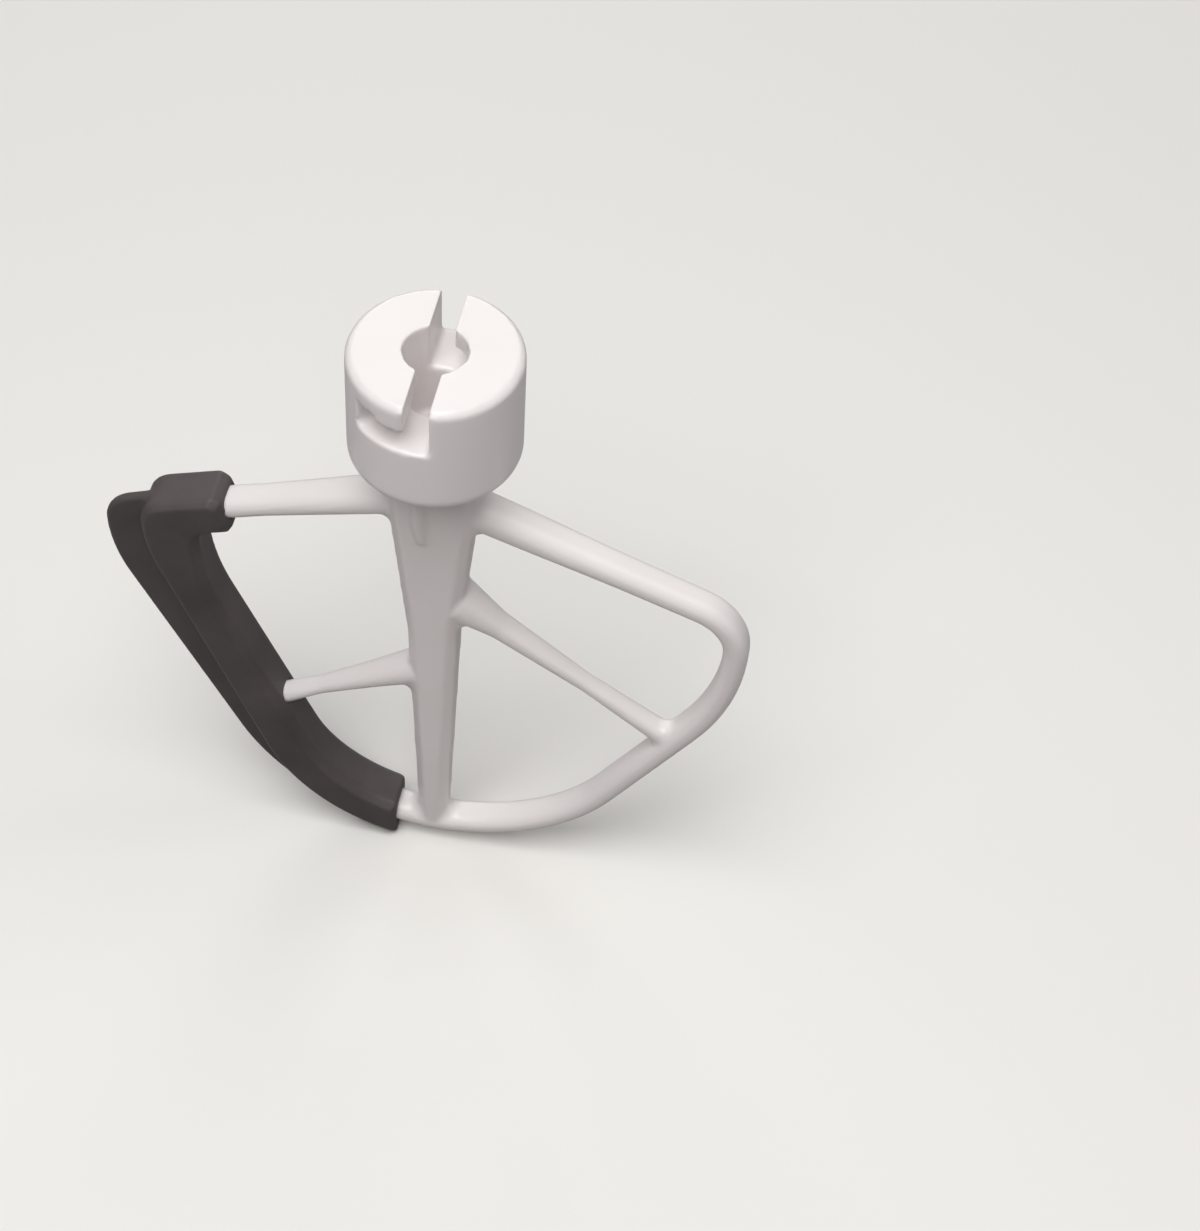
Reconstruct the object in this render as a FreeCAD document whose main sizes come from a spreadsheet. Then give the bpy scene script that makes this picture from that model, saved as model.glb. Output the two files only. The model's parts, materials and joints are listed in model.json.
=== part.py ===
"""Flat beater with a flexible edge, for a tilt-head stand mixer.

Two pieces: a coated aluminium casting (hub, spine, arms, limbs, bow and ribs) and a rubber edge that is
moulded over one side of it. Millimetres, +Z up along the drive shaft, origin at the mouth of the drive bore,
+X across the flat of the beater towards its bare limb, +Y from its front to its back.
"""
import FreeCAD, Part
import math
import os

import Sketcher

DIMENSIONS = {
    # Hub collar, its bore and the two bayonet slots
    "collar_radius": 17.8,
    "collar_height": 28.0,
    "collar_top_bevel": 1.2,
    "collar_foot_round": 3.0,
    "bore_radius": 6.5,
    "bore_depth": 24.0,
    "slot_width": 5.2,
    "slot_floor": 11.5,
    "slot_turn": 38.0,
    "slot_catch": 1.6,
    # Spine, an eight-sided taper in three sections, and the flute on each face
    "spine_bevel": 2.2,
    "spine_root": 2.0,
    "spine_top_width": 21.8,
    "spine_top_thickness": 13.0,
    "spine_waist_depth": 84.0,
    "spine_waist_width": 11.0,
    "spine_waist_thickness": 10.0,
    "spine_foot_width": 6.6,
    "spine_foot_thickness": 7.4,
    "flute_radius": 1.9,
    "flute_cut": 1.5,
    "flute_foot": 52.5,
    "flute_offset": 1.7,
    # Arms: where their centre lines cross the shaft axis, and their heights on the way out
    "arm_depth": 41.0,
    "bare_arm_slope": 20.9,
    "edge_arm_slope": 18.5,
    "arm_root": 6.0,
    "arm_root_height": 7.4,
    "bare_arm_waist": 40.0,
    "bare_arm_waist_height": 5.7,
    "edge_arm_waist": 36.0,
    "edge_arm_waist_height": 5.3,
    # Limbs and bow: centre line of the leaf outline, and the bar that follows it
    "bow_depth": 153.4,
    "bare_half_width": 65.2,
    "bare_shoulder_radius": 13.0,
    "bare_limb_radius": 55.0,
    "bare_bow_radius": 46.5,
    "edge_half_width": 55.4,
    "edge_shoulder_radius": 9.0,
    "edge_limb_radius": 60.0,
    "edge_bow_radius": 36.0,
    "limb_width": 5.5,
    "limb_flat": 2.2,
    # Ribs: where their centre lines cross the shaft axis, and their heights on the way out
    "bare_rib_depth": 70.3,
    "bare_rib_slope": 36.3,
    "bare_rib_root": 5.0,
    "bare_rib_root_height": 9.0,
    "bare_rib_end_height": 4.6,
    "edge_rib_depth": 97.0,
    "edge_rib_slope": 31.0,
    "edge_rib_root": 3.6,
    "edge_rib_root_height": 7.4,
    "edge_rib_end_height": 4.4,
    "rib_neck": 14.0,
    "rib_neck_height": 5.1,
    "rib_waist_height": 3.2,
    "rib_flat": 1.4,
    # Rubber sleeve round the covered arm, limb and bow
    "sleeve_width": 10.2,
    "sleeve_thickness": 11.2,
    "sleeve_inner_bevel": 1.7,
    "sleeve_outer_bevel": 1.3,
    "sleeve_cuff_bevel": 1.7,
    "sleeve_top_slope": 19.5,
    "sleeve_half_width": 62.7,
    "sleeve_corner_radius": 6.5,
    "sleeve_limb_radius": 40.0,
    "sleeve_start": 43.6,
    "sleeve_end": 8.0,
    # Wiping lip along the outer side of the sleeve
    "lip_thickness": 2.6,
    "lip_edge_bevel": 0.8,
    "lip_top_depth": 32.3,
    "lip_top_slope": 22.0,
    "lip_half_width": 71.6,
    "lip_corner_radius": 8.4,
    "lip_limb_radius": 40.0,
    "lip_bow_radius": 50.0,
    "lip_reach": 7.1,
    "lip_end": 14.0,
}

FORWARD = FreeCAD.Vector(0, 1, 0)
UP = FreeCAD.Vector(0, 0, 1)
BARE, COVERED = 1, -1

doc = FreeCAD.newDocument("flat_beater")
sheet = doc.addObject("Spreadsheet::Sheet", "dims")
for row, (alias, size) in enumerate(DIMENSIONS.items(), start=1):
    sheet.set(f"A{row}", alias.replace("_", " "))
    sheet.set(f"B{row}", str(size))
    sheet.setAlias(f"B{row}", alias)
doc.recompute()


def size_of(alias):
    """The value of one driving dimension."""
    return float(sheet.get(alias))


def bind(item, **expressions):
    """Tie properties of a document object to cells of the sheet."""
    for name, expression in expressions.items():
        item.setExpression(name, expression)


# Sketches


def sketch_in(body, name, role):
    """An empty sketch on one of a body's own origin planes."""
    sketch = body.newObject("Sketcher::SketchObject", name)
    plane = next(item for item in body.Origin.OriginFeatures if item.Role == role)
    sketch.AttachmentSupport = [(plane, "")]
    sketch.MapMode = "FlatFace"
    return sketch


def dimension(sketch, name, expression, kind, *where):
    """Add one dimension to a sketch and tie it to the sheet."""
    index = sketch.addConstraint(Sketcher.Constraint(kind, *where))
    sketch.renameConstraint(index, name)
    sketch.setExpression(f"Constraints.{name}", expression)


def join_ring(sketch, count):
    """Join each edge of a closed ring to the next."""
    for index in range(count):
        after = (index + 1) % count
        sketch.addConstraint(Sketcher.Constraint("Coincident", index, 2, after, 1))


# The leaf outline that the arms, limbs, bow, sleeve and lip follow


def polar(centre, radius, angle):
    """A point (across, up) on a circle."""
    return (centre[0] + radius * math.cos(angle), centre[1] + radius * math.sin(angle))


class LeafSide:
    """One side of the leaf: a sloping top line, then shoulder, limb, straight and bow, all tangent.

    Points are (across, up), with across measured outwards from the shaft axis.
    """

    def __init__(self, top_depth, top_slope, half_width, shoulder_radius, limb_radius, bow_radius, bow_depth):
        self.slope = math.radians(top_slope)
        self.top_depth = top_depth
        self.shoulder_radius = shoulder_radius
        self.limb_radius = limb_radius
        self.bow_radius = bow_radius
        shoulder_across = half_width - shoulder_radius
        top_end = self.on_top(shoulder_across + shoulder_radius * math.sin(self.slope))
        widest = top_end[1] - shoulder_radius * math.cos(self.slope)
        self.shoulder_centre = (shoulder_across, widest)
        self.limb_centre = (half_width - limb_radius, widest)
        self.bow_centre = (0.0, bow_radius - bow_depth)
        apart = (self.limb_centre[0], widest - self.bow_centre[1])
        tangent = math.acos((bow_radius - limb_radius) / math.hypot(*apart))
        self.lean = tangent - math.atan2(apart[1], apart[0])
        self.shoulder_turn = math.pi / 2 - self.slope

    def on_top(self, across):
        """The point of the top line at this distance from the axis."""
        return (across, -self.top_depth - across * math.tan(self.slope))

    def on_shoulder(self, angle, grow=0.0):
        return polar(self.shoulder_centre, self.shoulder_radius + grow, angle)

    def on_limb(self, angle, grow=0.0):
        return polar(self.limb_centre, self.limb_radius + grow, angle)

    def on_bow(self, angle, grow=0.0):
        return polar(self.bow_centre, self.bow_radius + grow, angle)


def leaf_of(prefix):
    """The centre line of the bare side, or of the side that the rubber covers."""
    return LeafSide(
        size_of("arm_depth"),
        size_of(f"{prefix}_arm_slope"),
        size_of(f"{prefix}_half_width"),
        size_of(f"{prefix}_shoulder_radius"),
        size_of(f"{prefix}_limb_radius"),
        size_of(f"{prefix}_bow_radius"),
        size_of("bow_depth"),
    )


def upright(point, side):
    """A leaf point as a vector in the beater's own plane, on the bare or the covered side."""
    return FreeCAD.Vector(side * point[0], 0.0, point[1])


# Cast members


def bar_section(name, height, flat, centre, along):
    """A bar's section: flat above and below, half round in front and behind."""
    section = doc.addObject("Sketcher::SketchObject", name)
    radius = section.evalExpression(height) / 2
    reach = FreeCAD.Vector(section.evalExpression(flat) / 2, 0.0, 0.0)
    rise = FreeCAD.Vector(0.0, radius, 0.0)
    for centre_point, start in ((reach, -math.pi / 2), (-reach, math.pi / 2)):
        ring = Part.Circle(centre_point, UP, radius)
        section.addGeometry(Part.ArcOfCircle(ring, start, start + math.pi), False)
    section.addGeometry(Part.LineSegment(reach + rise, rise - reach), False)
    section.addGeometry(Part.LineSegment(-reach - rise, reach - rise), False)
    for first, second in ((0, 2), (2, 1), (1, 3), (3, 0)):
        section.addConstraint(Sketcher.Constraint("Tangent", first, 2, second, 1))
    section.addConstraint(Sketcher.Constraint("Equal", 0, 1))
    section.addConstraint(Sketcher.Constraint("PointOnObject", 0, 3, -1))
    section.addConstraint(Sketcher.Constraint("Symmetric", 0, 3, 1, 3, -1, 1))
    dimension(section, "radius", f"{height} / 2", "Radius", 0, radius)
    dimension(section, "flat", flat, "DistanceX", 1, 3, 0, 3, 2 * reach.x)
    turn = FreeCAD.Rotation(FORWARD, along.cross(FORWARD), along, "ZXY")
    section.Placement = FreeCAD.Placement(centre, turn)
    return section


def loft(name, sections):
    """A solid that tapers evenly from each section to the next."""
    solid = doc.addObject("Part::Loft", name)
    solid.Sections = sections
    solid.Solid = True
    solid.Ruled = True
    return solid


def bend(name, section, centre, turn, side):
    """A section turned about a centre in the beater's plane."""
    solid = doc.addObject("Part::Revolution", name)
    solid.Source = section
    solid.Axis = side * FORWARD
    solid.Base = upright(centre, side)
    solid.Angle = math.degrees(turn)
    solid.Solid = True
    return solid


def travel(angle, side):
    """The way the leaf runs at an angle of its arcs, from the arm towards the bow."""
    return FreeCAD.Vector(side * math.sin(angle), 0.0, -math.cos(angle))


def arm(prefix, side, leaf):
    """An arm from inside the spine to its shoulder, flared towards the spine."""
    along = travel(leaf.shoulder_turn, side)
    places = {
        "dims.arm_root_height": leaf.on_top(size_of("arm_root")),
        f"dims.{prefix}_arm_waist_height": leaf.on_top(size_of(f"{prefix}_arm_waist")),
        "dims.limb_width": leaf.on_shoulder(leaf.shoulder_turn),
    }
    sections = []
    for step, (height, place) in enumerate(places.items()):
        centre = upright(place, side)
        sections.append(bar_section(f"{prefix}_arm_{step}", height, "dims.limb_flat", centre, along))
    return loft(f"{prefix}_arm", sections)


def leaf_bar(prefix, side, leaf):
    """The shoulder, the limb, its straight and its half of the bow: one bar that follows the leaf."""
    low = -leaf.lean

    def section(name, place, angle):
        centre = upright(place(angle), side)
        along = travel(angle, side)
        return bar_section(f"{prefix}_{name}", "dims.limb_width", "dims.limb_flat", centre, along)

    shoulder_start = section("shoulder_start", leaf.on_shoulder, leaf.shoulder_turn)
    limb_start = section("limb_start", leaf.on_limb, 0.0)
    straight = [section("straight_start", leaf.on_limb, low), section("straight_end", leaf.on_bow, low)]
    bow_start = section("bow_start", leaf.on_bow, low)
    return [
        bend(f"{prefix}_shoulder", shoulder_start, leaf.shoulder_centre, leaf.shoulder_turn, side),
        bend(f"{prefix}_limb", limb_start, leaf.limb_centre, leaf.lean, side),
        loft(f"{prefix}_straight", straight),
        bend(f"{prefix}_bow", bow_start, leaf.bow_centre, math.pi / 2 - leaf.lean, side),
    ]


def rib(prefix, side, leaf):
    """A rib from inside the spine to a limb's straight: flared at its root, slim, then wider at its end."""
    depth = size_of(f"{prefix}_rib_depth")
    slope = math.radians(size_of(f"{prefix}_rib_slope"))
    straight_top = leaf.on_limb(-leaf.lean)
    drop = straight_top[1] + depth + straight_top[0] * math.tan(slope)
    run = drop / (math.cos(leaf.lean) + math.sin(leaf.lean) * math.tan(slope))
    end = straight_top[0] - run * math.sin(leaf.lean)
    neck = size_of("rib_neck")
    places = {
        f"{prefix}_rib_root": size_of(f"{prefix}_rib_root"),
        "rib_neck": neck,
        "rib_waist": (neck + end) / 2,
        f"{prefix}_rib_end": end,
    }
    along = FreeCAD.Vector(side * math.cos(slope), 0.0, -math.sin(slope))
    sections = []
    for step, (name, across) in enumerate(places.items()):
        centre = upright((across, -depth - across * math.tan(slope)), side)
        height = f"dims.{name}_height"
        sections.append(bar_section(f"{prefix}_rib_{step}", height, "dims.rib_flat", centre, along))
    return loft(f"{prefix}_rib", sections)


def eight_sided(body, name, width, thickness, height):
    """A bevelled rectangle across the spine at a height above the bore's mouth."""
    sketch = sketch_in(body, name, "XY_Plane")
    bind(sketch, **{"AttachmentOffset.Base.z": height})
    across = sketch.evalExpression(width) / 2
    deep = sketch.evalExpression(thickness) / 2
    bevel = size_of("spine_bevel")
    quarter = [(across, bevel - deep), (across, deep - bevel), (across - bevel, deep), (bevel - across, deep)]
    points = [FreeCAD.Vector(x, y, 0.0) for x, y in quarter + [(-x, -y) for x, y in quarter]]
    count = len(points)
    for index in range(count):
        sketch.addGeometry(Part.LineSegment(points[index], points[(index + 1) % count]), False)
    join_ring(sketch, count)
    for index in range(count // 2):
        sketch.addConstraint(Sketcher.Constraint("Symmetric", index, 1, index + count // 2, 1, -1, 1))
    sketch.addConstraint(Sketcher.Constraint("Symmetric", 0, 1, 0, 2, -1))
    sketch.addConstraint(Sketcher.Constraint("Symmetric", 2, 1, 2, 2, -2))
    dimension(sketch, "width", width, "DistanceX", 4, 1, 0, 1, 2 * across)
    dimension(sketch, "thickness", thickness, "DistanceY", 6, 1, 2, 1, 2 * deep)
    dimension(sketch, "bevel_across", "dims.spine_bevel", "DistanceX", 2, 1, 1, 1, bevel)
    dimension(sketch, "bevel_deep", "dims.spine_bevel", "DistanceY", 1, 1, 2, 1, bevel)
    return sketch


def hub_and_spine():
    """The round collar, with its top edge bevelled and its foot rounded, and the tapered spine below it."""
    body = doc.addObject("PartDesign::Body", "hub_and_spine")
    ring = sketch_in(body, "collar_ring", "XY_Plane")
    radius = size_of("collar_radius")
    ring.addGeometry(Part.Circle(FreeCAD.Vector(), UP, radius), False)
    ring.addConstraint(Sketcher.Constraint("Coincident", 0, 3, -1, 1))
    dimension(ring, "radius", "dims.collar_radius", "Radius", 0, radius)
    collar = body.newObject("PartDesign::Pad", "collar")
    collar.Profile = ring
    collar.Reversed = True
    bind(collar, Length="dims.collar_height")
    doc.recompute()
    bevel = body.newObject("PartDesign::Chamfer", "collar_bevel")
    bevel.Base = (collar, [round_edge_at(collar.Shape, 0.0)])
    bind(bevel, Size="dims.collar_top_bevel")
    doc.recompute()
    foot = body.newObject("PartDesign::Fillet", "collar_foot")
    foot.Base = (bevel, [round_edge_at(bevel.Shape, -size_of("collar_height"))])
    bind(foot, Radius="dims.collar_foot_round")
    doc.recompute()
    spine = body.newObject("PartDesign::AdditiveLoft", "spine")
    spine.Profile = eight_sided(body, "spine_top", "dims.spine_top_width", "dims.spine_top_thickness",
                                "dims.spine_root - dims.collar_height")
    spine.Sections = [
        eight_sided(body, "spine_waist", "dims.spine_waist_width", "dims.spine_waist_thickness",
                    "-dims.spine_waist_depth"),
        eight_sided(body, "spine_foot", "dims.spine_foot_width", "dims.spine_foot_thickness",
                    "-dims.bow_depth"),
    ]
    spine.Ruled = True
    body.Tip = spine
    return body


def round_edge_at(shape, height):
    """The name of the circle at a height on a turned shape."""
    for index, edge in enumerate(shape.Edges, start=1):
        box = edge.BoundBox
        if len(edge.Vertexes) == 1 and abs(box.ZMax - height) < 1e-6 and box.ZLength < 1e-6:
            return f"Edge{index}"
    raise ValueError(f"no round edge at {height}")


# Cuts in the casting


def cylinder(name, radius, height, place):
    """An upright cylinder that stands on a place."""
    tool = doc.addObject("Part::Cylinder", name)
    bind(tool, Radius=radius, Height=height)
    tool.Placement.Base = place
    return tool


def bayonet_cutters():
    """The bore, and the two slots that the shaft's cross pin drops into, turns along and rises in."""
    cutters = [cylinder("bore", "dims.bore_radius", "dims.bore_depth", -size_of("bore_depth") * UP)]
    floor = -size_of("slot_floor") * UP
    for name, turn, height in (
        ("slot_entry", 0.0, "dims.slot_floor"),
        ("slot_seat", size_of("slot_turn"), "dims.slot_width + dims.slot_catch"),
    ):
        slot = doc.addObject("Part::Box", name)
        bind(slot, Length="dims.slot_width", Width="2 * dims.collar_radius", Height=height)
        spin = FreeCAD.Rotation(UP, -turn)
        corner = FreeCAD.Vector(-size_of("slot_width") / 2, -size_of("collar_radius"), 0.0)
        slot.Placement = FreeCAD.Placement(floor + spin.multVec(corner), spin)
        cutters.append(slot)
    for name, start in (("slot_run_front", 270.0), ("slot_run_back", 90.0)):
        run = cylinder(name, "dims.collar_radius", "dims.slot_width", floor)
        bind(run, Angle="dims.slot_turn")
        run.Placement.Rotation = FreeCAD.Rotation(UP, start - size_of("slot_turn"))
        cutters.append(run)
    return cutters


def flute_cutters():
    """A round-ended flute beside the middle of the spine's front face, and one of its back face."""
    top = size_of("collar_height")
    foot = size_of("flute_foot") - size_of("flute_radius")
    share = (foot - top) / (size_of("spine_waist_depth") - top)
    thickness = size_of("spine_top_thickness") * (1 - share) + size_of("spine_waist_thickness") * share
    out = thickness / 2 + size_of("flute_radius") - size_of("flute_cut")
    cutters = []
    for name, side in (("front", -1), ("back", 1)):
        place = FreeCAD.Vector(side * size_of("flute_offset"), side * out, -foot)
        cutters.append(cylinder(f"{name}_flute", "dims.flute_radius",
                                "dims.flute_foot - dims.flute_radius - dims.collar_height", place))
        end = doc.addObject("Part::Sphere", f"{name}_flute_end")
        bind(end, Radius="dims.flute_radius")
        end.Placement.Base = place
        cutters.append(end)
    return cutters


def fused(name, shapes):
    """Several shapes as one solid."""
    whole = doc.addObject("Part::MultiFuse", name)
    whole.Shapes = shapes
    whole.Refine = True
    return whole


def cut(label, base, tool):
    """One shape with another taken out of it."""
    result = doc.addObject("Part::Cut", label)
    result.Base = base
    result.Tool = tool
    result.Label = label
    return result


# Rubber edge


def add_ring(sketch, edges, side):
    """Add a closed ring of lines (two points) and arcs (three points), each joined to the next."""
    for points in edges:
        places = [FreeCAD.Vector(side * point[0], point[1], 0.0) for point in points]
        shape = Part.LineSegment if len(places) == 2 else Part.ArcOfCircle
        sketch.addGeometry(shape(*places), False)
    count = len(edges)
    for index in range(count):
        after = (index + 1) % count
        ends = [(a, b) for a in (1, 2) for b in (1, 2)]
        gaps = [(sketch.getPoint(index, a) - sketch.getPoint(after, b)).Length for a, b in ends]
        a, b = ends[gaps.index(min(gaps))]
        sketch.addConstraint(Sketcher.Constraint("Coincident", index, a, after, b))


def arc(place, start, end, grow=0.0):
    """Start, middle and end of a stretch of one of the leaf's arcs."""
    return [place(start, grow), place((start + end) / 2, grow), place(end, grow)]


def chain(leaf, end, grow=0.0):
    """Limb, straight and bow of a leaf, from its widest point down to a distance from the shaft axis."""
    low = -leaf.lean
    last = -math.acos(end / (leaf.bow_radius + grow))
    return [
        arc(leaf.on_limb, 0.0, low, grow),
        [leaf.on_limb(low, grow), leaf.on_bow(low, grow)],
        arc(leaf.on_bow, low, last, grow),
    ]


def backwards(edges):
    """The same edges, followed the other way."""
    return [points[::-1] for points in edges[::-1]]


def beside_arm(leaf, offset):
    """The point at the sleeve's start that lies this far above the arm's centre line."""
    start = leaf.on_top(size_of("sleeve_start"))
    return polar(start, offset, leaf.shoulder_turn)


def skin_of(leaf):
    """The sleeve's outer outline, which falls away from the cuff's top and ends beside the bow."""
    half = size_of("sleeve_width") / 2
    cuff_top = beside_arm(leaf, half)
    return LeafSide(
        -cuff_top[1] - cuff_top[0] * math.tan(math.radians(size_of("sleeve_top_slope"))),
        size_of("sleeve_top_slope"),
        size_of("sleeve_half_width"),
        size_of("sleeve_corner_radius"),
        size_of("sleeve_limb_radius"),
        leaf.bow_radius + half,
        size_of("bow_depth") + half,
    )


def towards(start, goal, distance):
    """The point this far from one point towards another."""
    share = distance / math.dist(start, goal)
    return (start[0] + share * (goal[0] - start[0]), start[1] + share * (goal[1] - start[1]))


def sleeve_outlines(leaf, skin):
    """The sleeve's outer, foot, inner and cuff edges, with the corners of the cuff bevelled."""
    half = size_of("sleeve_width") / 2
    end = size_of("sleeve_end")
    bevel = size_of("sleeve_cuff_bevel")
    cuff_top, cuff_foot = (beside_arm(leaf, offset) for offset in (half, -half))
    corner = arc(skin.on_shoulder, skin.shoulder_turn, 0.0)
    outer_start = towards(cuff_top, corner[0], bevel)
    outer = [[outer_start, corner[0]], corner, *chain(skin, end)]
    inner_corner = arc(leaf.on_shoulder, 0.0, leaf.shoulder_turn, -half)
    inner_end = towards(cuff_foot, inner_corner[2], bevel)
    inner = [*backwards(chain(leaf, end, -half)), inner_corner, [inner_corner[2], inner_end]]
    foot = [[outer[-1][-1], inner[0][0]]]
    cuff_low = towards(cuff_foot, cuff_top, bevel)
    cuff_high = towards(cuff_top, cuff_foot, bevel)
    cuff = [[inner_end, cuff_low], [cuff_low, cuff_high], [cuff_high, outer_start]]
    return outer, foot, inner, cuff


def lip_outlines(leaf, lip):
    """The lip's wiping edges, and its edges inside the sleeve and the casting."""
    end = size_of("lip_end")
    corner = arc(lip.on_shoulder, lip.shoulder_turn, 0.0)
    inner = backwards(chain(leaf, end))
    limb_top = inner[-1][-1]
    top = lip.on_top(limb_top[0])
    wiping = [[top, corner[0]], corner, *chain(lip, end)]
    hidden = [[wiping[-1][-1], inner[0][0]], *inner, [limb_top, top]]
    return wiping, hidden


def middle_pad(body, name, edges, thickness):
    """An outline in the beater's plane, as thick to the front as to the back."""
    sketch = sketch_in(body, f"{name}_outline", "XZ_Plane")
    add_ring(sketch, edges, COVERED)
    pad = body.newObject("PartDesign::Pad", name)
    pad.Profile = sketch
    pad.SideType = "Symmetric"
    bind(pad, Length=thickness)
    doc.recompute()
    return pad


def edges_along(shape, outline, thickness):
    """The names of a pad's front and back edges that follow part of its outline."""
    names = []
    for points in outline:
        middle = points[1]
        if len(points) == 2:
            middle = ((points[0][0] + points[1][0]) / 2, (points[0][1] + points[1][1]) / 2)
        for depth in (-thickness / 2, thickness / 2):
            spot = Part.Vertex(upright(middle, COVERED) + depth * FORWARD)
            gaps = [edge.distToShape(spot)[0] for edge in shape.Edges]
            names.append(f"Edge{gaps.index(min(gaps)) + 1}")
    return names


def dress(body, kind, name, base, names, **sizes):
    """Bevel some edges of a body's last feature."""
    feature = body.newObject(kind, name)
    feature.Base = (base, names)
    bind(feature, **sizes)
    doc.recompute()
    return feature


def rubber_blank(leaf, skin, lip):
    """The sleeve with its bevelled edges, and the lip, before the casting's room is taken out."""
    body = doc.addObject("PartDesign::Body", "rubber_blank")
    outer, foot, inner, cuff = sleeve_outlines(leaf, skin)
    sleeve = middle_pad(body, "sleeve", outer + foot + inner + cuff, "dims.sleeve_thickness")
    names = edges_along(sleeve.Shape, inner + cuff, size_of("sleeve_thickness"))
    bevel = dress(body, "PartDesign::Chamfer", "inner_bevel", sleeve, names, Size="dims.sleeve_inner_bevel")
    names = edges_along(bevel.Shape, outer + foot, size_of("sleeve_thickness"))
    dress(body, "PartDesign::Chamfer", "outer_bevel", bevel, names, Size="dims.sleeve_outer_bevel")
    wiping, hidden = lip_outlines(leaf, lip)
    wing = middle_pad(body, "lip", wiping + hidden, "dims.lip_thickness")
    names = edges_along(wing.Shape, wiping[1:], size_of("lip_thickness"))
    body.Tip = dress(body, "PartDesign::Chamfer", "lip_bevel", wing, names, Size="dims.lip_edge_bevel")
    return body


bare_leaf = leaf_of("bare")
edge_leaf = leaf_of("edge")
lip_leaf = LeafSide(
    size_of("lip_top_depth"),
    size_of("lip_top_slope"),
    size_of("lip_half_width"),
    size_of("lip_corner_radius"),
    size_of("lip_limb_radius"),
    size_of("lip_bow_radius"),
    size_of("bow_depth") + size_of("lip_reach"),
)

members = [hub_and_spine()]
for prefix, side, leaf in (("bare", BARE, bare_leaf), ("edge", COVERED, edge_leaf)):
    members.append(arm(prefix, side, leaf))
    members.extend(leaf_bar(prefix, side, leaf))
    members.append(rib(prefix, side, leaf))
casting = fused("casting", members)
beater_frame = cut("beater_frame", casting, fused("cutters", bayonet_cutters() + flute_cutters()))
flex_edge = cut("flex_edge", rubber_blank(edge_leaf, skin_of(edge_leaf), lip_leaf), beater_frame)
doc.recompute()

for item in doc.Objects:
    if "Invalid" in item.State or "Error" in item.State:
        raise RuntimeError(f"{item.Name} failed: {item.State}")
os.makedirs("parts", exist_ok=True)
for node in (beater_frame, flex_edge):
    if node.Shape.isNull() or not node.Shape.isValid() or len(node.Shape.Solids) != 1:
        raise RuntimeError(f"{node.Label} is not one valid solid")
    print(node.Label, "volume", round(node.Shape.Volume, 1), "faces", len(node.Shape.Faces))
    node.Shape.exportStep(f"parts/{node.Label}.step")
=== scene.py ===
# %% [markdown]
# # A coated flat beater with a rubber edge
#
# The part has two pieces: a white coated casting and a dark rubber edge that is moulded over one side of
# it. Their sizes and places come from the CAD model, which is loaded first and never changed. Blender adds
# what the CAD solids lack: the soft corners that casting and thick coating leave, a slim rib under the
# collar, and the look of the two materials.

# %% Load the CAD model
import json
import math

import bpy
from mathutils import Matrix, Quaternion, Vector

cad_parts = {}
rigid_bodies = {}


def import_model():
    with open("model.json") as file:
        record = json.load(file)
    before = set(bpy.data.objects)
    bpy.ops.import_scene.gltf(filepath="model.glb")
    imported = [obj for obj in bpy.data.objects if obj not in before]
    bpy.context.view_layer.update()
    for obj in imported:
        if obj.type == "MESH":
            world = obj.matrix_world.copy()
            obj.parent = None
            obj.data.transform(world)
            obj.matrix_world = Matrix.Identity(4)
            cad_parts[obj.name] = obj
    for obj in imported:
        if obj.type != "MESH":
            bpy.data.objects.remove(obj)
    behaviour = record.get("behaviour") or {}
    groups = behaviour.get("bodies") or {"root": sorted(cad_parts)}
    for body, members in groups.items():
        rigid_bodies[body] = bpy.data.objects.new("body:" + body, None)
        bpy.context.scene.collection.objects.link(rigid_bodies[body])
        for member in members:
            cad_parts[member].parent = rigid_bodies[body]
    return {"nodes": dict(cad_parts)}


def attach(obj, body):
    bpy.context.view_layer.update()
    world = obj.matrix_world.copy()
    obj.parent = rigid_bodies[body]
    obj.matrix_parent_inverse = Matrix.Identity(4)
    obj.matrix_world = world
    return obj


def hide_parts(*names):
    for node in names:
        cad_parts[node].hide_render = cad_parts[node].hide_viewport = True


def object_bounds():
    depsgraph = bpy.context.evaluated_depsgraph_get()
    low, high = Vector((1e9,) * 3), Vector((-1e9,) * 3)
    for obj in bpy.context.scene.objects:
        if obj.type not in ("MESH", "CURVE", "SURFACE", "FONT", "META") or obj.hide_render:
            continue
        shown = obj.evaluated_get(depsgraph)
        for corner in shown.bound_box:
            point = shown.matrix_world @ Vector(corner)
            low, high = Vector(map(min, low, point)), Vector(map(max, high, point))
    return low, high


MM = 0.001
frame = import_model()
cad_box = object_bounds()
print("CAD box in mm:", [[round(v / MM, 1) for v in corner] for corner in cad_box])

# %% [markdown]
# ## The photograph's viewpoint
#
# The camera could be placed by eye, but the outline only lines up if the lens is right too. A camera was
# fitted to the photograph beforehand, so its place, its direction and its roll are simply written down
# here. A long lens of 90 mm keeps the perspective mild, as in a product photograph.

# %% Camera
CAMERA_PLACE = Vector((93.2, -409.3, 430.1)) * MM
CAMERA_FORWARD = Vector((-0.0885, 0.6297, -0.7719)).normalized()
CAMERA_ROLL = math.radians(-3.84)
bpy.ops.object.camera_add(location=CAMERA_PLACE)
camera = bpy.context.object
camera.name = "photo_camera"
camera.data.lens = 90.0
camera.data.clip_start = 0.01
level = CAMERA_FORWARD.to_track_quat("-Z", "Y")
camera.rotation_euler = (Quaternion(CAMERA_FORWARD, CAMERA_ROLL) @ level).to_euler()
bpy.context.scene.camera = camera
print("camera height above the bore's mouth in mm:", round(camera.location.z / MM, 1))

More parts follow.
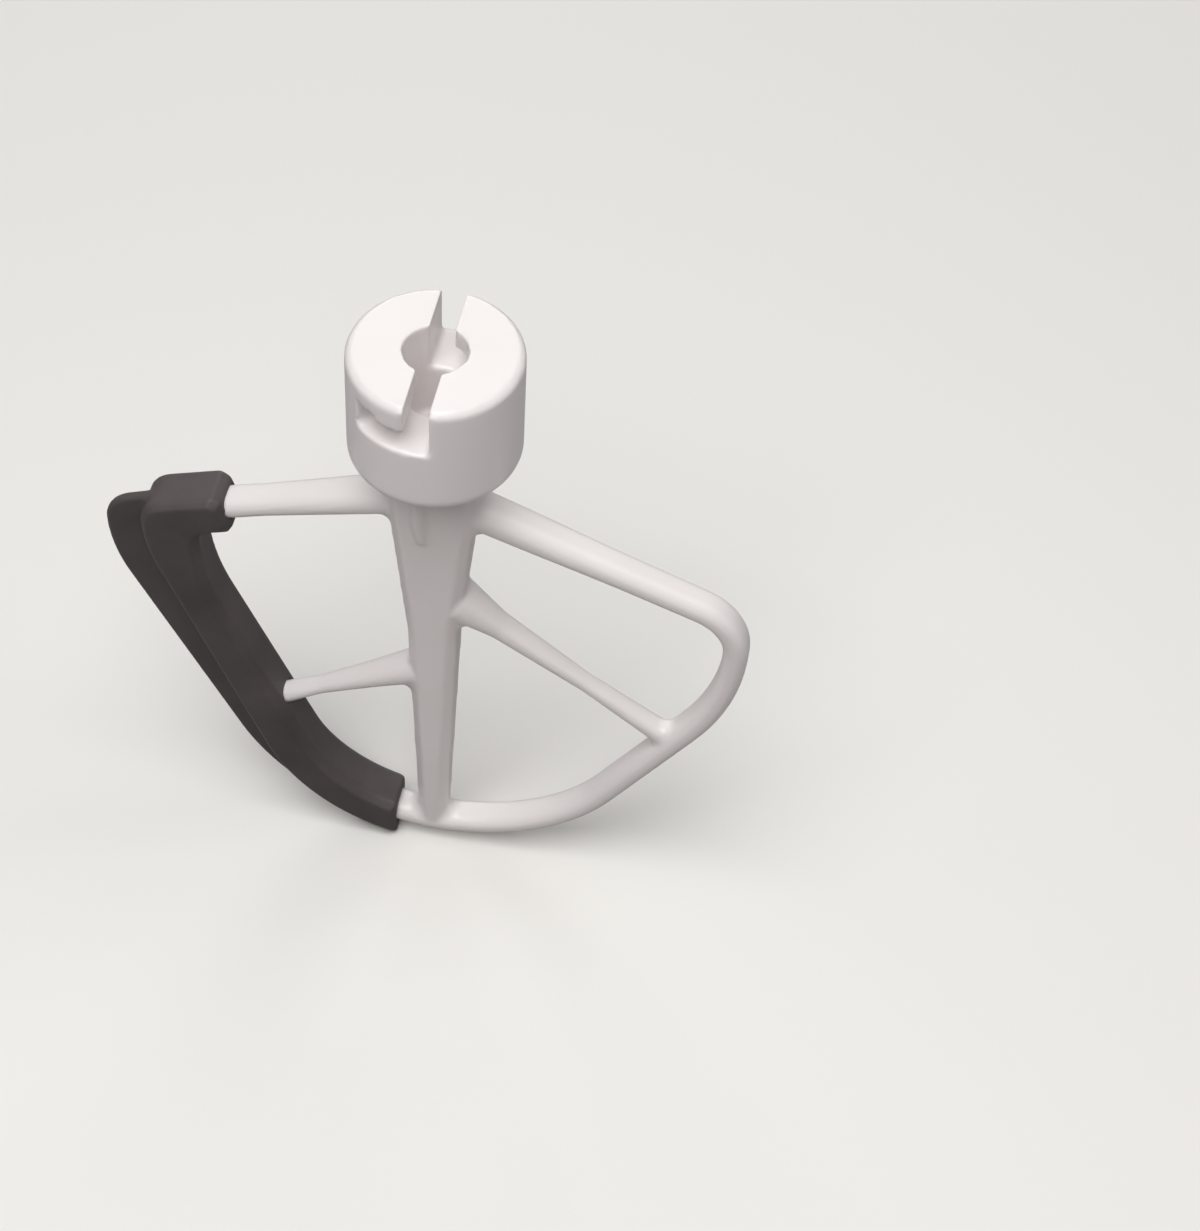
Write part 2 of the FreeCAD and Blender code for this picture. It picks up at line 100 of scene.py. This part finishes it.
# %% [markdown]
# ## Colours and nodes
#
# Colours are picked as sRGB hex values, the way they look on a screen, while a shader needs linear values.
# One function does that sum. A second one adds a node with its settings and links, so that each material
# below reads as a short list of nodes.

# %% Two helpers for the materials


def linear(hex_colour):
    """A colour such as e6e2df as linear red, green, blue and alpha."""
    parts = [int(hex_colour[i:i + 2], 16) / 255 for i in (0, 2, 4)]
    return [v / 12.92 if v <= 0.04045 else ((v + 0.055) / 1.055) ** 2.4 for v in parts] + [1.0]


def add_node(tree, kind, links=(), **settings):
    """Add a node, set its properties and inputs by name, and link other nodes' outputs to its inputs."""
    node = tree.nodes.new(kind)
    for name, value in settings.items():
        if hasattr(node, name):
            setattr(node, name, value)
        else:
            node.inputs[name.replace("_", " ")].default_value = value
    for source, output, target in links:
        tree.links.new(source.outputs[output], node.inputs[target])
    return node


print("mid grey in linear light:", round(linear("808080")[0], 3))

# %% [markdown]
# ## Floor
#
# A pale seamless floor carries the beater's shadow. A plain pale plane would throw so much light back up
# that the white coating lost its shade, so the paint is pale for the camera and darker for the light that
# it returns. It would also turn dark far from the lamps and show a grey horizon in low views. So away from
# the beater, where no shadow falls, it glows for the camera in the backdrop's own colour.

# %% Floor
BACKDROP = linear("ebe9e5")
FLOOR_SIZE = 12.0
FLOOR_GAP = 0.2 * MM
GLOW_STARTS = 0.30
GLOW_FULL = 0.90
floor_height = cad_box[0][2] - FLOOR_GAP
bpy.ops.object.select_all(action="DESELECT")
bpy.ops.mesh.primitive_plane_add(size=FLOOR_SIZE, location=(0.0, 0.0, floor_height))
floor = bpy.context.object
floor.name = "studio_floor"
bpy.ops.object.transform_apply(location=True, rotation=False, scale=False)
print("floor height in mm:", round(floor_height / MM, 2))

# %% Floor paint
floor_paint = bpy.data.materials.new("matt_studio_paint")
floor_paint.use_nodes = True
tree = floor_paint.node_tree
paint = tree.nodes["Principled BSDF"]
paint.inputs["Roughness"].default_value = 0.9
coords = add_node(tree, "ShaderNodeTexCoord")
distance = add_node(tree, "ShaderNodeVectorMath", [(coords, "Object", 0)], operation="LENGTH")
far = add_node(tree, "ShaderNodeMapRange", [(distance, "Value", "Value")], interpolation_type="SMOOTHSTEP",
               From_Min=GLOW_STARTS, From_Max=GLOW_FULL)
ray = add_node(tree, "ShaderNodeLightPath")
tint = add_node(tree, "ShaderNodeValToRGB", [(ray, "Is Camera Ray", 0)])
tint.color_ramp.elements[0].color = linear("a8a5a4")
tint.color_ramp.elements[1].color = linear("f0eeea")
tree.links.new(tint.outputs["Color"], paint.inputs["Base Color"])
share = add_node(tree, "ShaderNodeMath", [(far, 0, 0), (ray, "Is Camera Ray", 1)], operation="MULTIPLY")
glow = add_node(tree, "ShaderNodeEmission", Color=BACKDROP, Strength=1.0)
blend = add_node(tree, "ShaderNodeMixShader", [(share, 0, 0), (paint, 0, 1), (glow, 0, 2)])
tree.links.new(blend.outputs[0], tree.nodes["Material Output"].inputs["Surface"])
floor.data.materials.append(floor_paint)
print("floor paint nodes:", len(tree.nodes))

# %% [markdown]
# ## Light
#
# One large soft lamp hangs overhead and a little in front. A weaker one hangs overhead to the right, and
# others stand behind the part and at its left. A single small lamp would give hard black shadows, and an
# even white world would make the white coating look flat. The big lamp gives bright tops and grey fronts,
# which shows the round section of every arm. The world lights the shade softly, and shows the pale backdrop
# to the camera and in reflections.

# %% Lamps
# Each lamp's place and size are in metres, and its power is in watts.
LAMPS = {
    "top_softbox": ((-0.06, -0.38, 0.85), 0.70, 8.8),
    "back_softbox": ((-0.20, 0.95, 0.35), 0.60, 2.6),
    "right_softbox": ((0.55, 0.10, 0.80), 0.60, 1.9),
    "left_softbox": ((-0.95, -0.10, 0.35), 0.60, 0.5),
}
BEATER_MIDDLE = Vector((0.0, 0.0, -0.08))
for name, (place, size, power) in LAMPS.items():
    bpy.ops.object.light_add(type="AREA", location=place)
    lamp = bpy.context.object
    lamp.name = name
    lamp.data.size = size
    lamp.data.energy = power
    lamp.rotation_euler = (BEATER_MIDDLE - lamp.location).to_track_quat("-Z", "Y").to_euler()
bpy.context.scene.view_settings.view_transform = "Standard"
print("lamps:", ", ".join(LAMPS))

# %% World
world = bpy.data.worlds.new("studio")
world.use_nodes = True
tree = world.node_tree
fill = tree.nodes["Background"]
fill.inputs["Color"].default_value = linear("f2f1ee")
fill.inputs["Strength"].default_value = 0.12
ray = add_node(tree, "ShaderNodeLightPath")
seen = add_node(tree, "ShaderNodeMath", [(ray, "Is Camera Ray", 0), (ray, "Is Glossy Ray", 1)],
                operation="MAXIMUM")
seen = add_node(tree, "ShaderNodeMath", [(seen, 0, 0), (ray, "Is Transmission Ray", 1)], operation="MAXIMUM")
backdrop = add_node(tree, "ShaderNodeBackground", Color=BACKDROP, Strength=1.0)
blend = add_node(tree, "ShaderNodeMixShader", [(seen, 0, 0), (fill, 0, 1), (backdrop, 0, 2)])
tree.links.new(blend.outputs[0], tree.nodes["World Output"].inputs["Surface"])
bpy.context.scene.world = world
print("world nodes:", len(tree.nodes))

# %% [markdown]
# ## The casting
#
# On the real beater the hub, the spine, the arms and the ribs are one aluminium casting under a thick white
# coating. The members meet in soft hollows, and no edge is sharp, because the mould is rounded and the
# coating flows. A bevel modifier can't do that on a mesh of thin triangles. A voxel remesh first turns the
# copy of the CAD solid into an even skin of small squares. A second copy of that skin is swollen by the
# hollows' radius, remeshed so that narrow corners close up, and shrunk again: flat and round places come
# back as they were, and each inner corner keeps a round filling. The fillings are joined to the first skin,
# except at the hub and on the spine's faces under it, where the inner corners stay tight.

# %% Helpers that work on one piece
MERGE_DISTANCE = 0.002 * MM


def select_only(piece):
    """Make one object the only one that the next operator works on."""
    bpy.ops.object.select_all(action="DESELECT")
    piece.select_set(True)
    bpy.context.view_layer.objects.active = piece


def copy_of_node(node, name):
    """A copy of a CAD solid with its loose triangles merged into one skin."""
    select_only(frame["nodes"][node])
    bpy.ops.object.duplicate()
    piece = bpy.context.object
    piece.name = name
    bpy.ops.object.parent_clear(type="CLEAR_KEEP_TRANSFORM")
    piece.data.materials.clear()
    bpy.ops.object.mode_set(mode="EDIT")
    bpy.ops.mesh.select_all(action="SELECT")
    bpy.ops.mesh.remove_doubles(threshold=MERGE_DISTANCE)
    bpy.ops.object.mode_set(mode="OBJECT")
    return piece


def apply_modifier(piece, kind, **settings):
    """Add a modifier with its settings and apply it."""
    select_only(piece)
    bpy.ops.object.modifier_add(type=kind)
    modifier = piece.modifiers[-1]
    for name, value in settings.items():
        setattr(modifier, name, value)
    bpy.ops.object.modifier_apply(modifier=modifier.name)


def part_beyond(piece, place, direction):
    """A copy of the part of a piece that lies beyond a plane, closed along the cut."""
    select_only(piece)
    bpy.ops.object.duplicate()
    bpy.ops.object.mode_set(mode="EDIT")
    bpy.ops.mesh.select_all(action="SELECT")
    bpy.ops.mesh.bisect(plane_co=Vector(place) * MM, plane_no=direction, use_fill=True, clear_inner=True)
    bpy.ops.object.mode_set(mode="OBJECT")
    return bpy.context.object


def triangles(piece):
    """How many triangles a piece has."""
    return sum(len(face.vertices) - 2 for face in piece.data.polygons)


# %% Casting: a copy of the CAD solid
casting = copy_of_node("beater_frame", "coated_frame")
print("casting triangles as they come:", triangles(casting))

# %% [markdown]
# ## The rib under the collar
#
# A slim half-round rib runs from the collar down each face of the spine, leans a little inwards and ends in
# a round foot. The CAD solid has only a flute there, so a flat block first fills the flute up to the
# spine's face. A sunken cylinder could be the rib, but its foot would be blunt. So a disc is extruded
# downwards step by step, and moved and shrunk at each step, until its last ring almost closes. Boolean
# unions add the blocks and the ribs to the casting.

# %% Casting: where the rib lies, in millimetres
SPINE_HALF = 6.5
SPINE_TOP = -26.0
FACE_SLOPE = 1.5 / 58.0
BLOCK_SIZE = Vector((4.2, 3.0, 26.0))
BLOCK_ACROSS = 1.7
BLOCK_MIDDLE = -40.0
# Each ring of the rib: its height, how far it lies beside the middle of the face, and its radius.
RIB_RINGS = [
    (-27.0, 2.23, 1.75),
    (-45.0, 2.23, 1.65),
    (-50.9, 1.62, 0.95),
    (-51.5, 1.60, 0.72),
    (-51.8, 1.59, 0.30),
]
RIB_SIDES = 40


def on_face(side, across, height):
    """A point of the spine's front face (side -1) or back face (side 1), in millimetres."""
    return Vector((side * across, side * (SPINE_HALF + FACE_SLOPE * (height - SPINE_TOP)), height))


print("middle of the front block's face:", [round(v, 2) for v in on_face(-1, BLOCK_ACROSS, BLOCK_MIDDLE)])

# %% Casting: the block and the rib on each face of the spine


def face_block(side):
    """A block that fills the flute, with its outer side level with the spine's face."""
    inwards = Vector((0.0, -side, FACE_SLOPE)).normalized()
    middle = on_face(side, BLOCK_ACROSS, BLOCK_MIDDLE) + BLOCK_SIZE.y / 2 * inwards
    tilt = -side * math.atan(FACE_SLOPE)
    bpy.ops.object.select_all(action="DESELECT")
    bpy.ops.mesh.primitive_cube_add(size=1.0, location=middle * MM, rotation=(tilt, 0, 0))
    bpy.ops.transform.resize(value=BLOCK_SIZE * MM, orient_type="LOCAL")
    bpy.ops.object.transform_apply(location=True, rotation=True, scale=True)
    return bpy.context.object


def face_rib(side):
    """The half-round rib, extruded from ring to ring down the face."""
    height, across, last_radius = RIB_RINGS[0]
    last = on_face(side, across, height)
    bpy.ops.object.select_all(action="DESELECT")
    bpy.ops.mesh.primitive_circle_add(vertices=RIB_SIDES, radius=last_radius * MM, fill_type="NGON",
                                      location=last * MM)
    bpy.ops.object.transform_apply(location=True, rotation=False, scale=False)
    bpy.ops.object.mode_set(mode="EDIT")
    bpy.ops.mesh.select_all(action="SELECT")
    for height, across, radius in RIB_RINGS[1:]:
        place = on_face(side, across, height)
        bpy.ops.mesh.extrude_region_move(TRANSFORM_OT_translate={"value": (place - last) * MM})
        shrink = radius / last_radius
        bpy.ops.transform.resize(value=(shrink, shrink, 1.0), center_override=place * MM)
        last, last_radius = place, radius
    bpy.ops.mesh.select_all(action="SELECT")
    bpy.ops.mesh.normals_make_consistent(inside=False)
    bpy.ops.object.mode_set(mode="OBJECT")
    return bpy.context.object


additions = [make(side) for side in (-1, 1) for make in (face_block, face_rib)]
for piece in additions:
    print(piece.name, "size in mm:", [round(v / MM, 2) for v in piece.dimensions])
    apply_modifier(casting, "BOOLEAN", operation="UNION", solver="EXACT", object=piece)
    bpy.data.objects.remove(piece)
print("casting triangles with its ribs:", triangles(casting))

# %% Casting: the skin, and a second one with its inner corners filled
SKIN_SQUARE = 0.52 * MM
HOLLOW_RADIUS = 1.9 * MM
SINK = 0.10 * MM
apply_modifier(casting, "REMESH", mode="VOXEL", voxel_size=SKIN_SQUARE)
select_only(casting)
bpy.ops.object.duplicate()
filling = bpy.context.object
apply_modifier(filling, "DISPLACE", strength=HOLLOW_RADIUS, mid_level=0.0)
apply_modifier(filling, "REMESH", mode="VOXEL", voxel_size=SKIN_SQUARE)
apply_modifier(filling, "SMOOTH", factor=0.5, iterations=2)
apply_modifier(filling, "DISPLACE", strength=-HOLLOW_RADIUS - SINK, mid_level=0.0)
apply_modifier(filling, "REMESH", mode="VOXEL", voxel_size=SKIN_SQUARE)
print("filling triangles:", triangles(filling))

# %% Casting: fillings at both sides of the spine and below its ribs, in millimetres
UNDER_COLLAR = -31
BESIDE_FACE = 5
UNDER_RIB = -56
below_collar = part_beyond(filling, (0, 0, UNDER_COLLAR), (0, 0, -1))
parts = [
    part_beyond(below_collar, (BESIDE_FACE, 0, 0), (1, 0, 0)),
    part_beyond(below_collar, (-BESIDE_FACE, 0, 0), (-1, 0, 0)),
    part_beyond(below_collar, (0, 0, UNDER_RIB), (0, 0, -1)),
]
for piece in (filling, below_collar):
    bpy.data.objects.remove(piece)
select_only(casting)
for piece in parts:
    piece.select_set(True)
bpy.ops.object.join()
print("casting triangles with its fillings:", triangles(casting))

# %% Casting: one even skin, and its last smoothing
apply_modifier(casting, "REMESH", mode="VOXEL", voxel_size=SKIN_SQUARE)
apply_modifier(casting, "SMOOTH", factor=0.5, iterations=2)
select_only(casting)
bpy.ops.object.shade_smooth()
print("casting triangles:", triangles(casting))

# %% [markdown]
# ## White coating
#
# The casting is dipped or sprayed with a thick white coating that is baked on. It gives the eye a warm
# white with a satin gloss: broad soft lights along the round arms, a faint orange peel in them, and hardly
# any other mark. A flat white would look like plaster. So a slow cloud varies the white and the gloss a
# little, a fine noise ripples the surface, and the tightest inner corners are painted greyer as painted
# shade.

# %% Coating
PEEL_WAVE = 1.5 * MM
CLOUD_SIZE = 22.0 * MM
coating = bpy.data.materials.new("white_baked_coating_on_cast_aluminium")
coating.use_nodes = True
tree = coating.node_tree
shader = tree.nodes["Principled BSDF"]
shader.inputs["IOR"].default_value = 1.5
coords = add_node(tree, "ShaderNodeTexCoord")
cloud = add_node(tree, "ShaderNodeTexNoise", [(coords, "Object", "Vector")], Scale=1.0 / CLOUD_SIZE,
                 Detail=2.0)
whites = add_node(tree, "ShaderNodeValToRGB", [(cloud, 0, 0)])
whites.color_ramp.elements[0].position = 0.2
whites.color_ramp.elements[0].color = linear("e9e3e2")
whites.color_ramp.elements[1].position = 0.8
whites.color_ramp.elements[1].color = linear("ede8e7")
# Painted shade: the tightest inner corners, found from the mesh's pointiness, are painted up to a quarter
# darker.
corners = add_node(tree, "ShaderNodeNewGeometry")
painted_corner_shade = add_node(tree, "ShaderNodeMapRange", [(corners, "Pointiness", "Value")], From_Min=0.36,
                  From_Max=0.46, To_Min=0.75, To_Max=1.0)
white_with_painted_shade = add_node(tree, "ShaderNodeVectorMath", [(whites, "Color", 0), (painted_corner_shade, 0, "Scale")], operation="SCALE")
gloss = add_node(tree, "ShaderNodeMapRange", [(cloud, 0, "Value")], From_Min=0.2, From_Max=0.8, To_Min=0.29,
                 To_Max=0.37)
peel = add_node(tree, "ShaderNodeTexNoise", [(coords, "Object", "Vector")], Scale=1.0 / PEEL_WAVE, Detail=1.0)
ripple = add_node(tree, "ShaderNodeBump", [(peel, 0, "Height")], Strength=0.25, Distance=0.03 * MM)
tree.links.new(white_with_painted_shade.outputs[0], shader.inputs["Base Color"])
tree.links.new(gloss.outputs[0], shader.inputs["Roughness"])
tree.links.new(ripple.outputs[0], shader.inputs["Normal"])
casting.data.materials.append(coating)
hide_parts("beater_frame")
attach(casting, "root")
print("coating nodes:", len(tree.nodes))

# %% [markdown]
# ## The rubber edge
#
# The edge is one rubber moulding: a bevelled sleeve round the left limb with a thin lip along its outer
# side. Its CAD solid has every bevel already, so it could stay as it is, but moulded rubber has no
# knife-sharp corner, and only a softened corner catches the light. The same voxel skin with a little
# smoothing rounds all corners alike.

# %% Rubber edge
RUBBER_SQUARE = 0.42 * MM
edge = copy_of_node("flex_edge", "rubber_edge")
apply_modifier(edge, "REMESH", mode="VOXEL", voxel_size=RUBBER_SQUARE)
apply_modifier(edge, "SMOOTH", factor=0.5, iterations=3)
select_only(edge)
bpy.ops.object.shade_smooth()
print("rubber triangles:", triangles(edge))

# %% [markdown]
# ## Moulded rubber
#
# The rubber is a dark warm grey, matt with a faint shine, as it comes from an eroded mould: a fine even
# grain, slow cloudy patches, and corners that look lighter because they are rubbed. The grain of such a
# mould is finer than the render can show, so it is drawn about twice as coarse.

# %% Rubber
GRAIN_SIZE = 0.7 * MM
PATCH_SIZE = 14.0 * MM
rubber = bpy.data.materials.new("moulded_dark_rubber")
rubber.use_nodes = True
tree = rubber.node_tree
shader = tree.nodes["Principled BSDF"]
shader.inputs["IOR"].default_value = 1.5
coords = add_node(tree, "ShaderNodeTexCoord")
patches = add_node(tree, "ShaderNodeTexNoise", [(coords, "Object", "Vector")], Scale=1.0 / PATCH_SIZE,
                   Detail=4.0)
corners = add_node(tree, "ShaderNodeNewGeometry")
rubbed = add_node(tree, "ShaderNodeMapRange", [(corners, "Pointiness", "Value")], From_Min=0.53,
                  From_Max=0.62, To_Max=0.5)
light = add_node(tree, "ShaderNodeMath", [(rubbed, 0, 0), (patches, 0, 1), (patches, 0, 2)],
                 operation="MULTIPLY_ADD")
greys = add_node(tree, "ShaderNodeValToRGB", [(light, 0, 0)])
greys.color_ramp.elements[0].position = 0.3
greys.color_ramp.elements[0].color = linear("363030")
greys.color_ramp.elements[1].position = 0.9
greys.color_ramp.elements[1].color = linear("524a4a")
shine = add_node(tree, "ShaderNodeMapRange", [(patches, 0, "Value")], From_Min=0.3, From_Max=0.7, To_Min=0.48,
                 To_Max=0.60)
grain = add_node(tree, "ShaderNodeTexNoise", [(coords, "Object", "Vector")], Scale=1.0 / GRAIN_SIZE,
                 Detail=2.0)
matt = add_node(tree, "ShaderNodeBump", [(grain, 0, "Height")], Strength=0.4, Distance=0.04 * MM)
tree.links.new(greys.outputs["Color"], shader.inputs["Base Color"])
tree.links.new(shine.outputs[0], shader.inputs["Roughness"])
tree.links.new(matt.outputs[0], shader.inputs["Normal"])
edge.data.materials.append(rubber)
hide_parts("flex_edge")
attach(edge, "root")
print("rubber nodes:", len(tree.nodes))
